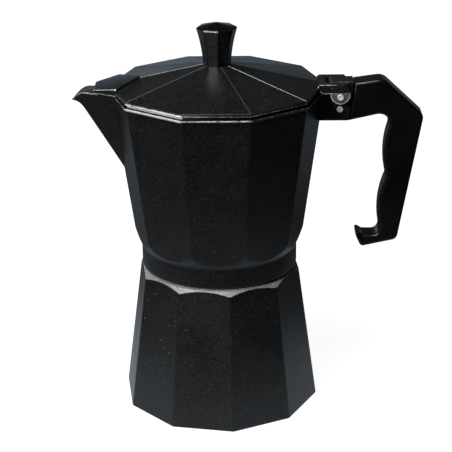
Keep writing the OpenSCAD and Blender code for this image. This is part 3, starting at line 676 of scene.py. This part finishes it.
def makeCollector():
    c, k = collector, bracket
    rimZ, collarZ, mouthZ = spots["rimZ"], spots["collarZ"], spots["neckTop"]
    waistZ = collarZ + c["collarH"] + c["waistH"]
    taper = (c["bodyR"] - c["waistR"]) / (rimZ - waistZ)
    skirtZ = collarZ + c["collarH"] - 2
    skirtR = c["waistR"] - taper * (waistZ - skirtZ)
    bm = facetStack([(skirtR, collarZ), (skirtR, skirtZ), (c["bodyR"], rimZ)])
    softEdges(bm, sharpEdges(bm, 20, lambda e: not level(e)), c["cornerSoft"])
    piece = workPiece("collectorBody", bm, collectorPaint)
    coneOver = 1 + (c["waistR"] - c["collarR"]) / c["waistH"]
    envelope = turnedBody([(0, collarZ), (c["collarR"], collarZ), (c["collarR"], collarZ + c["collarH"]),
                           (c["waistR"] + coneOver - 1, waistZ + 1), (c["bodyR"] + 20, waistZ + 1),
                           (c["bodyR"] + 20, rimZ + 5), (0, rimZ + 5)])
    softEdges(envelope, sharpEdges(envelope, 40, lambda e: middle(e).z < collarZ + 1), 0.7)
    softEdges(envelope, sharpEdges(envelope, 15, lambda e: abs(middle(e).z - collarZ - c["collarH"]) < 0.1), 1.5)
    keepInside(piece, envelope, collectorPaint)
    lip = facetStack([(c["lipR"] - 0.5, rimZ - c["lipH"]), (c["lipR"], rimZ - c["lipH"] * 0.4), (c["lipR"], rimZ)])
    softEdges(lip, sharpEdges(lip, 20), 0.35, 2)
    lipPiece = workPiece("lip", lip, collectorPaint)
    cutFrom(lipPiece, block((k["front"] - 3, -12.8, rimZ - 3), (k["front"] + 20, 12.8, rimZ + 3), 0), collectorPaint)
    carve(piece, lipPiece, "UNION")
    spout = lofted([spoutRing(r) for r in smoothRows(spoutRows, 3)])
    addTo(piece, spout, collectorPaint)
    root = c["bodyR"] - c["wall"] - 1
    arm = sideSlab([(root, k["bottom"], 0), (k["foot"], k["bottom"], 0.5), (k["end"], spots["bracketTop"], 0.8),
                    (k["front"] + k["chamfer"], spots["bracketTop"], 1.2),
                    (k["front"], spots["bracketTop"] - k["drop"], 0.6), (k["front"], rimZ - c["lipH"], 0),
                    (root, rimZ - c["lipH"], 0)], k["width"], edge=0.5)
    addTo(piece, arm, collectorPaint)
    inner = (c["waistR"] - taper * (waistZ - c["floorZ"]) - c["wall"] / math.cos(math.radians(18)))
    innerTop = inner + taper * (rimZ + 8 - c["floorZ"])
    hollow = facetStack([(inner, c["floorZ"]), (innerTop, rimZ + 8)])
    softEdges(hollow, sharpEdges(hollow, 20, lambda e: middle(e).z < rimZ), 1.6)
    cutFrom(piece, hollow, bareMetal)
    start = (42, spoutRows[0][1] + 11.6, spoutRows[0][2] + 2.5, 0)
    rows = [start] + [r for r in smoothRows(spoutRows, 2) if r[0] > 5] + [(3.4, 7.4, 2.9, -2)]
    cutFrom(piece, lofted([channelRing(r) for r in rows]), bareMetal)
    top = c["floorZ"] + c["columnH"]
    column = turnedBody([(0, c["floorZ"] - 1), (c["columnFoot"], c["floorZ"] - 1),
                         (c["columnFoot"] - 0.6, c["floorZ"] + 4), (c["columnTop"], top), (0, top)], steps=64)
    softEdges(column, sharpEdges(column, 40, lambda e: middle(e).z > c["floorZ"]), 1.2)
    addTo(piece, column, bareMetal)
    below = turnedBody([(0, collarZ - 2), (c["collarRootR"], collarZ - 2), (c["collarRootR"], mouthZ - 0.4),
                        (c["seatR"], mouthZ - 0.4), (c["seatR"], spots["gasketTop"] + 0.02),
                        (c["filterR"], spots["gasketTop"] + 0.02), (c["filterR"], spots["filterTop"] + 0.02),
                        (c["domeR"], spots["filterTop"] + 0.02), (c["domeR"], c["domeTop"] - 1.5),
                        (c["domeR"] - 4, c["domeTop"]), (c["columnBore"], c["domeTop"]),
                        (c["columnBore"], top - c["outletDrop"] / 2), (0, top - c["outletDrop"] / 2)])
    cutFrom(piece, below, bareMetal)
    cutFrom(piece, crossRod(0, top - c["outletDrop"], c["outletR"], 30), bareMetal)
    cutFrom(piece, block((k["tenonX"] - 0.15, -k["tenonW"] / 2 - 0.15, k["socketZ"] - 0.15),
                         (k["tenonX"] + 40, k["tenonW"] / 2 + 0.15, k["socketZ"] + k["socketH"] + 0.15), 0),
            collectorPaint)
    for z in (spots["hingeZ"], spots["handlePinZ"]):
        cutFrom(piece, crossRod(spots["hingeX"], z, 2.0, 40), bareMetal)
    return finishPiece(piece, "collector_casting", "collector", ["collector"])


makeCollector()
threadRidge("collar_thread", "collector", collector["collarRootR"], collector["collarRootR"] - thread["high"],
            spots["collarZ"] + 0.9, bareMetal)
print("stage: collector made")

# lid
lid = {
    "footR": 65.8, "footH": 1.5, "edgeR": 67.4, "edgeH": 3.4, "r": 66.6, "rise": 12.6, "seatR": 8.2, "wall": 2.2,
    "ridgeSoft": 0.55, "notchX": 65.8, "plateX": 67.0, "plateT": 2.3, "armTop": spots["bracketTop"] - 0.3,
    "armDeep": 6, "cheekIn": 7.3, "cheekT": 4.5, "earR": 6.1, "earStep": 0.3, "earUp": 1.5,
    "cheekBack": 3.5, "kneeIn": 10.8, "kneeOut": 7.2, "holeR": 2.3,
}
cover = {"rootR": 47.6, "rootUp": 1.1, "shoulderX": 62.0, "shoulderW": 17.5, "shoulderUp": 4.9, "endX": 76.6,
         "endW": 9.2, "endUp": 2.3}


# ridge rows: turn, width, strength; skirt rows: turn, height, width, amount, strength
def lidWearAndPaintedLight():
    d, c = lid, cover
    low, knee, top = spots["lidZ"], d["armTop"] - d["armDeep"], d["armTop"]
    hingeX, side = spots["hingeX"], -(d["cheekIn"] + d["cheekT"])
    shoulder, end = (-c["shoulderX"], -c["shoulderW"]), (-c["endX"], -c["endW"])
    # ridge lines in bare metal colour, full on the ridges at 180 and -36 degrees and faint on the rest: painted
    # highlights
    ridges = [wearAndPaintedLightEdge(corner(d["r"], turn, low + d["edgeH"]), corner(d["seatR"], turn, spots["knobZ"]), width,
                       0.95, strength)
              for turn, width, strength in ((180, 0.42, 1), (-36, 0.42, 1), (-144, 0.3, 0.2), (-72, 0.3, 0.07),
                                            (144, 0.25, 0.06), (36, 0.25, 0.06))]
    # skirt rows of bare metal colour, strongest at the front left: partly wear, partly painted highlight
    skirt = [wearAndPaintedLightSide(d["edgeR"], turn, low + z, *how) for turn, z, *how in (
        (-180, 1.5, 0.5, 0.46, 0.9), (-144, 1.5, 1.5, 0.55, 0.85), (-108, 1.5, 0.45, 0.54, 0.5),
        (-72, 1.6, 0.4, 0.5, 0.5), (-36, 1.6, 0.35, 0.42, 0.4))]
    mirrored = skirt + [
        # bare metal colour on the shaded step under the skirt at the front left: painted light where shade falls
        wearAndPaintedLightSide(d["footR"], -144, low + 0.8, 1.3, 0.75, 1),
        # the cover's top edge line and the bright dot at its shoulder: partly wear, partly painted highlight
        wearAndPaintedLightEdge((*end, low + c["endUp"]), (*shoulder, low + c["shoulderUp"]), 0.45, 0.68, 0.8),
        wearAndPaintedLightEdge((-62.4, -17.3, low + 4.8), (-61.8, -17.5, low + 4.9), 1.0, 0.9, 1),
        wearAndPaintedLightEdge((-76, -9.6, low + 0.3), (*shoulder, low + 0.3), 0.5, 0.58, 0.8),
        wearAndPaintedLightEdge((61.6, side, top - 3.6), (65.2, side, knee), 0.8, 0.8, 1),
        wearAndPaintedLightEdge((65.2, side, knee), (71, side, knee), 0.6, 0.8, 1),
        wearAndPaintedLightEdge((71, side, knee), (83.2, side, knee), 0.45, 0.9, 1),
        wearAndPaintedLightEdge((63, side, top - 0.3), (73, side, top - 0.3), 0.35, 0.5, 0.7),
        wearAndPaintedLightEdge((62.4, side, top - 0.8), (61.8, side, top - 3.6), 0.35, 0.66, 0.9)]
    ear = (hingeX, side + d["earStep"], spots["hingeZ"] + d["earUp"])
    # the outer ring is wear round the ear's rim; the inner disc lightens the whole ear face a little, a painted
    # sheen
    rings = [wearAndSheenRing(ear, 5.9, knee, 0.48, 0.85, 0.9), wearAndSheenRing(ear, 3.4, knee, 3.2, 0.95, 0.1)]
    return {"edges": ridges, "mirrored": mirrored, "rings": rings}


lidPaint = paintedMetal("lid_paint", 0.01, **lidWearAndPaintedLight())


def makeLid():
    d = lid
    lidZ, facetZ, knobZ = spots["lidZ"], spots["lidZ"] + d["edgeH"], spots["knobZ"]
    bm = facetStack([(d["footR"], lidZ), (d["footR"], lidZ + d["footH"]), (d["edgeR"], lidZ + d["footH"] + 0.01),
                     (d["r"], facetZ), (d["seatR"], knobZ)])
    ridges = [e for e in bm.edges if not level(e) and middle(e).z > facetZ + 1]
    softEdges(bm, ridges, d["ridgeSoft"], 2)
    softEdges(bm, sharpEdges(bm, 25, lambda e: level(e) and middle(e).z > lidZ + 1), 0.35, 2)
    piece = workPiece("lidShell", bm, lidPaint)
    slope = d["rise"] / (d["r"] - d["seatR"])

    def topAt(r):
        return knobZ - slope * (r - d["seatR"])

    hull = bmesh.new()
    tops = [(cover["rootR"], 0, topAt(cover["rootR"]) + cover["rootUp"])]
    for side in (-1, 1):
        tops += [(cover["shoulderX"], side * cover["shoulderW"], lidZ + cover["shoulderUp"]),
                 (cover["endX"], side * cover["endW"], lidZ + cover["endUp"])]
    for x, y, z in tops:
        hull.verts.new((-x, y, z))
        hull.verts.new((-x, y, lidZ + 0.1))
    bmesh.ops.convex_hull(hull, input=hull.verts)
    bmesh.ops.dissolve_limit(hull, angle_limit=math.radians(2), verts=hull.verts, edges=hull.edges)
    softEdges(hull, sharpEdges(hull, 20), 0.55, 2)
    coverPiece = workPiece("cover", hull, lidPaint)
    innerR = d["footR"] - d["wall"]
    cutFrom(coverPiece, facetStack([(innerR, lidZ - 1), (innerR, lidZ + 2.4)]), bareMetal)
    cutFrom(piece, facetStack([(innerR, lidZ - 1), (innerR, lidZ + d["edgeH"] - d["wall"]),
                               (d["seatR"] + 1.5, facetZ - d["wall"] + d["rise"] - 0.4)]), bareMetal)
    carve(piece, coverPiece, "UNION")
    inward, outward = d["cheekIn"], d["cheekIn"] + d["cheekT"]
    root = d["r"] - 5
    low, top = d["armTop"] - d["plateT"], d["armTop"]
    addTo(piece, block((root + 0.6, -inward - 0.4, top - 3.4), (d["notchX"], inward + 0.4, top - 0.12), 0), lidPaint)
    addTo(piece, block((root + 1.3, -inward - 0.7, low), (d["plateX"], inward + 0.7, top - 0.06), 0), lidPaint)
    hingeX = spots["hingeX"]
    for side in (-1, 1):
        cheek = sideSlab([(root, topAt(root) - 1, 0), (root + 1.8, top, 0.8), (hingeX + d["cheekBack"], top, 0.9),
                          (hingeX + d["kneeOut"], top - d["armDeep"], 0.7),
                          (hingeX - d["kneeIn"], top - d["armDeep"], 0.5),
                          (root, lidZ + d["footH"], 0)], d["cheekT"], side * (inward + outward) / 2, 0.45)
        addTo(piece, cheek, lidPaint)
        ear = crossRod(hingeX, spots["hingeZ"] + d["earUp"], d["earR"], d["cheekT"] - 2 * d["earStep"],
                       side * (inward + outward) / 2, 0.3, 64)
        addTo(piece, ear, lidPaint)
    cutFrom(piece, block((d["plateX"], -inward, lidZ - 10), (d["plateX"] + 40, inward, top + 20), 0), lidPaint)
    cutFrom(piece, crossRod(hingeX, spots["hingeZ"], 2.06, 60), bareMetal)
    cutFrom(piece, peg(d["holeR"], knobZ - 8, knobZ + 8, 32), bareMetal)
    return finishPiece(piece, "lid_casting", "lid", ["lid"])


makeLid()
print("stage: lid made")

# knob, handle and pins
knob = {"footR": 8.7, "topR": 12.8, "height": 26, "edge": 22.7, "turn": 5, "rings": 9, "flare": 0.58, "bend": 2.2,
        "insertR": 3.6, "insertH": 11}
# the handle's outline from the bracket's top outer corner: across, up and rounding
grip = {
    "width": 15.4, "edge": 2.0, "gap": 0.15,
    "back": [(18.2, 1.9, 7.5), (43.7, -22, 5), (29.3, -105, 4)],
    "hook": [(6.3, -110, 2.5), (-0.1, -96, 2.2), (7.3, -101.8, 3.5), (17.6, -101.9, 4.5)],
    "swellLow": (17.7, -96.6), "cusp": (21.2, -62.4), "swellHigh": (22.1, -29.1), "throat": (22.3, -19.4, 6.5),
    "bulgeLow": 2.45, "bulgeHigh": 2.25,
}
pin = {"r": 2, "peenR": 1.75, "dimpleR": 1.1, "uneven": 0.16}


def makeKnob():
    k = knob
    shares = [i / k["rings"] for i in range(k["rings"] + 1)]
    rings = [(k["footR"] + (k["topR"] - k["footR"]) * ((1 - k["flare"]) * t + k["flare"] * t ** k["bend"]),
              k["edge"] * t) for t in shares]
    dome = [(k["topR"] - 0.9, k["edge"] + 0.8), (0.5, k["height"] - 0.02)]
    bm = facetStack([(r, spots["knobZ"] + z) for r, z in rings + dome], sides=8, turn=k["turn"])
    edgeZ = spots["knobZ"] + k["edge"]
    softEdges(bm, [e for e in bm.edges if not level(e) and middle(e).z < edgeZ], 0.5)
    softEdges(bm, sharpEdges(bm, 15, lambda e: middle(e).z > edgeZ - 0.1), 0.35, 2)
    piece = workPiece("knobBody", bm, knobMoulding)
    cutFrom(piece, peg(k["insertR"], spots["knobZ"] - 2, spots["knobZ"] + k["insertH"], 40), knobMoulding)
    return finishPiece(piece, "knob_moulding", "lid", ["knob"], sharpest=30)


# points of the arc from a to b that bulges by rise
def arcBetween(a, b, rise, count=12):
    a, b = Vector(a), Vector(b)
    along = (b - a).normalized()
    side = Vector((-along.y, along.x))
    half = (b - a).length / 2
    radius = (half * half + rise * rise) / (2 * rise)
    centre = (a + b) / 2 - side * (radius - rise)
    spread = math.asin(half / radius)
    turns = [spread * (2 * i / count - 1) for i in range(1, count)]
    return [tuple(centre + radius * (along * math.sin(t) + side * math.cos(t))) for t in turns]


def makeHandle():
    g, x, z = grip, bracket["end"], spots["bracketTop"]

    def placed(*points):
        return [(x + across, z + up, *rounding) for across, up, *rounding in points]

    low, cusp, high = placed(g["swellLow"], g["cusp"], g["swellHigh"])
    corners = ([(x + g["gap"], z - 0.6)] + placed(*g["back"], *g["hook"]) + [low]
               + arcBetween(low, cusp, g["bulgeLow"]) + [cusp] + arcBetween(cusp, high, g["bulgeHigh"]) + [high]
               + placed(g["throat"]) + [(bracket["foot"] + g["gap"], bracket["bottom"])])
    bm = sideSlab(corners, grip["width"], edge=grip["edge"], segments=5, rounds=8)
    piece = workPiece("handleBody", bm, moulding)
    tongue = block((bracket["tenonX"], -bracket["tenonW"] / 2, bracket["socketZ"]),
                   (x + 4, bracket["tenonW"] / 2, bracket["socketZ"] + bracket["socketH"]), 0.3)
    addTo(piece, tongue, moulding)
    for pinZ in (spots["hingeZ"], spots["handlePinZ"]):
        cutFrom(piece, crossRod(spots["hingeX"], pinZ, 2.0, 40), moulding)
    return finishPiece(piece, "handle_moulding", "collector", ["handle"])


# a pressed pin whose ends are peened over, a little uneven
def makePin(name, node, z):
    low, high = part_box(node)
    half = (high.y - low.y) / 2 / mm
    lowerEnd = [(0, 0.25), (pin["dimpleR"], 0.12), (pin["peenR"], 0.02), (pin["r"], 0.35)]
    outline = [(r, inset - half) for r, inset in lowerEnd] + [(r, half - inset) for r, inset in lowerEnd[::-1]]
    bm = turnedBody(outline, steps=36)
    caps = [f for f in bm.faces if abs(f.calc_center_median().z) > half - 0.5]
    bmesh.ops.subdivide_edges(bm, edges=list({e for f in caps for e in f.edges}), cuts=1, use_grid_fill=True)
    for v in bm.verts:
        if abs(v.co.z) > half - 0.4 and v.co.xy.length < pin["r"] - 0.2:
            dent = pin["uneven"] * abs(noise.noise(v.co * 1.7 + Vector((z, 0, 0))))
            v.co.z -= math.copysign(dent, v.co.z)
    bmesh.ops.transform(bm, verts=bm.verts, matrix=Matrix.Translation((spots["hingeX"], 0, z))
                        @ Matrix.Rotation(math.pi / 2, 4, "X"))
    return finishPiece(workPiece(name, bm, zinc), name, "collector", [node])


makeKnob()
makeHandle()
makePin("hinge_pin_peened", "hinge_pin", spots["hingeZ"])
makePin("handle_pin_peened", "handle_pin", spots["handlePinZ"])
print("stage: knob, handle and pins made")


# valve spring and carried nodes; the spring stands on the valve's retainer and presses on its poppet
spring = {"start": 0.35, "end": 8.4, "r": 2.3, "wireR": 0.35, "coils": 6.5, "stepsPerCoil": 24}


def makeSpring():
    c = spring
    bm = bmesh.new()
    bmesh.ops.create_circle(bm, cap_ends=True, segments=10, radius=c["wireR"],
                            matrix=Matrix.Translation((c["r"], 0, 0)) @ Matrix.Rotation(math.pi / 2, 4, "X"))
    steps = int(c["coils"] * c["stepsPerCoil"])
    bmesh.ops.spin(bm, geom=list(bm.faces), cent=(0, 0, 0), axis=(0, 0, 1), angle=2 * math.pi * c["coils"],
                   steps=steps, dvec=(0, 0, (c["end"] - c["start"]) / steps), use_duplicate=False)
    bmesh.ops.remove_doubles(bm, verts=bm.verts, dist=0.002)
    bmesh.ops.transform(bm, verts=bm.verts, matrix=valvePlace(c["start"]))
    piece = finishPiece(workPiece("spring", bm, springSteel), "valve_spring_coil", None, ["valve_spring"])
    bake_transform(piece)


makeSpring()
carried = {
    "valve_body": turnedBrass, "valve_washer": fibreBoard, "valve_retainer": turnedBrass, "valve_poppet": zinc,
    "valve_seal": redRubber, "funnel_cup": pressedMetal, "funnel_stem": pressedMetal,
    "funnel_sieve": pressedMetal, "gasket": whiteRubber, "filter_plate": pressedMetal,
    "knob_insert": turnedBrass, "knob_washer": zinc, "knob_screw": zinc,
}
for node, finish in carried.items():
    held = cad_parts[node]
    held.data.materials.clear()
    held.data.materials.append(finish)
print("stage: carried nodes finished")


# floor, light and camera
studio = {
    "floorSize": 6, "floorDrop": 0.0002, "floorGrey": (0.3, 0.3, 0.3), "floorGlow": 0.95, "nearGlow": 0.65,
    "behindGlow": 0.15, "leftGlow": 0.05, "card": (0.8, 0.9, 1.0), "around": (0.66, 0.83, 1.0), "dim": 0.015,
    "white": (1, 1, 1), "whiteStrength": 1.2,
}
view = {"sensor": 36, "lens": 118.54, "far": 20, "place": (0.01747, -0.89122, 0.47501),
        "aim": (0.00444, 0.0001, 0.11552), "roll": -0.62}
lamps = {               # place, aim, size, power
    "overhead": ((-0.36, -0.38, 1.3), (0, 0, 0.12), (0.75, 0.6), 14),
    "key": ((-0.8, -1.15, 0.95), (0, 0, 0.14), (0.26, 0.26), 16),
}


# one shader lights the pot, and the camera sees the other
def splitView(tree, lighting, seen, output):
    camera = addNode(tree, "ShaderNodeLightPath").outputs["Is Camera Ray"]
    mix = addNode(tree, "ShaderNodeMixShader", {0: camera, 1: lighting.outputs[0], 2: seen.outputs[0]})
    addNode(tree, output, {"Surface": mix.outputs[0]})


def makeFloor():
    s = studio
    bm = bmesh.new()
    bmesh.ops.create_grid(bm, x_segments=1, y_segments=1, size=s["floorSize"])
    mesh = bpy.data.meshes.new("floor")
    bm.to_mesh(mesh)
    bm.free()
    mesh.transform(Matrix.Translation((0, 0, -s["floorDrop"])))
    floor = bpy.data.objects.new("floor", mesh)
    scene.collection.objects.link(floor)
    made, tree = newTree("pale_floor")
    pale = addNode(tree, "ShaderNodeBsdfDiffuse", {"Color": s["floorGrey"]})
    glow = addNode(tree, "ShaderNodeEmission", {"Strength": s["floorGlow"]})
    seen = addNode(tree, "ShaderNodeAddShader", {0: pale.outputs[0], 1: glow.outputs[0]})
    where = objectPlace(tree)
    x, y = addNode(tree, "ShaderNodeSeparateXYZ", {0: where}).outputs[:2]
    near = ramped(tree, vectorSum(tree, "LENGTH", where), 0.27, 0.07, 0.0, s["nearGlow"])    # bright by the pot
    aside = sumUp(tree, "ABSOLUTE", sumUp(tree, "SUBTRACT", x, 0.06))
    behind = product(tree, ramped(tree, y, -0.1, 0.4, 0.02, s["behindGlow"]), ramped(tree, aside, 0.1, 0.22, 0.2))
    left = ramped(tree, x, 0.1, -0.35, 0.0, s["leftGlow"])
    strength = sumUp(tree, "ADD", sumUp(tree, "ADD", behind, left), near)
    card = addNode(tree, "ShaderNodeEmission", {"Color": s["card"], "Strength": strength})
    splitView(tree, card, seen, "ShaderNodeOutputMaterial")
    mesh.materials.append(made)


def makeWorld():
    s = studio
    world = bpy.data.worlds.new("studio")
    scene.world = world
    world.use_nodes = True
    tree = world.node_tree
    tree.nodes.clear()
    direction = addNode(tree, "ShaderNodeTexCoord").outputs["Generated"]
    x, y, z = addNode(tree, "ShaderNodeSeparateXYZ", {0: direction}).outputs
    behind, lowDown = ramped(tree, y, 0.2, 0.9), ramped(tree, z, 0.22, 0.06)
    glow = product(tree, behind, lowDown, ramped(tree, x, 0.3, -0.3, 0.25, 1.1))
    strength = sumUp(tree, "ADD", glow, s["dim"])
    around = addNode(tree, "ShaderNodeBackground", {"Color": s["around"], "Strength": strength})
    white = addNode(tree, "ShaderNodeBackground", {"Color": s["white"], "Strength": s["whiteStrength"]})
    splitView(tree, around, white, "ShaderNodeOutputWorld")


# turned so that its front looks from place to aim
def facing(place, aim):
    return (Vector(aim) - Vector(place)).to_track_quat("-Z", "Y")


def makeLight(name, place, aim, size, power):
    data = bpy.data.lights.new(name, "AREA")
    data.shape = "RECTANGLE"
    data.size, data.size_y = size
    data.energy = power
    lamp = bpy.data.objects.new(name, data)
    lamp.location = place
    lamp.rotation_euler = facing(place, aim).to_euler()
    scene.collection.objects.link(lamp)


def makeCamera():
    data = bpy.data.cameras.new("camera")
    data.sensor_width = view["sensor"]
    data.lens = view["lens"]
    data.clip_end = view["far"]
    camera = bpy.data.objects.new("camera", data)
    camera.location = view["place"]
    turn = facing(view["place"], view["aim"]).to_matrix() @ Matrix.Rotation(math.radians(view["roll"]), 3, "Z")
    camera.rotation_euler = turn.to_euler()
    scene.collection.objects.link(camera)
    scene.camera = camera


makeFloor()
makeWorld()
for lampName, (place, aim, size, power) in lamps.items():
    makeLight(lampName, place, aim, size, power)
makeCamera()
scene.view_settings.view_transform = "Standard"
print("stage: studio set")
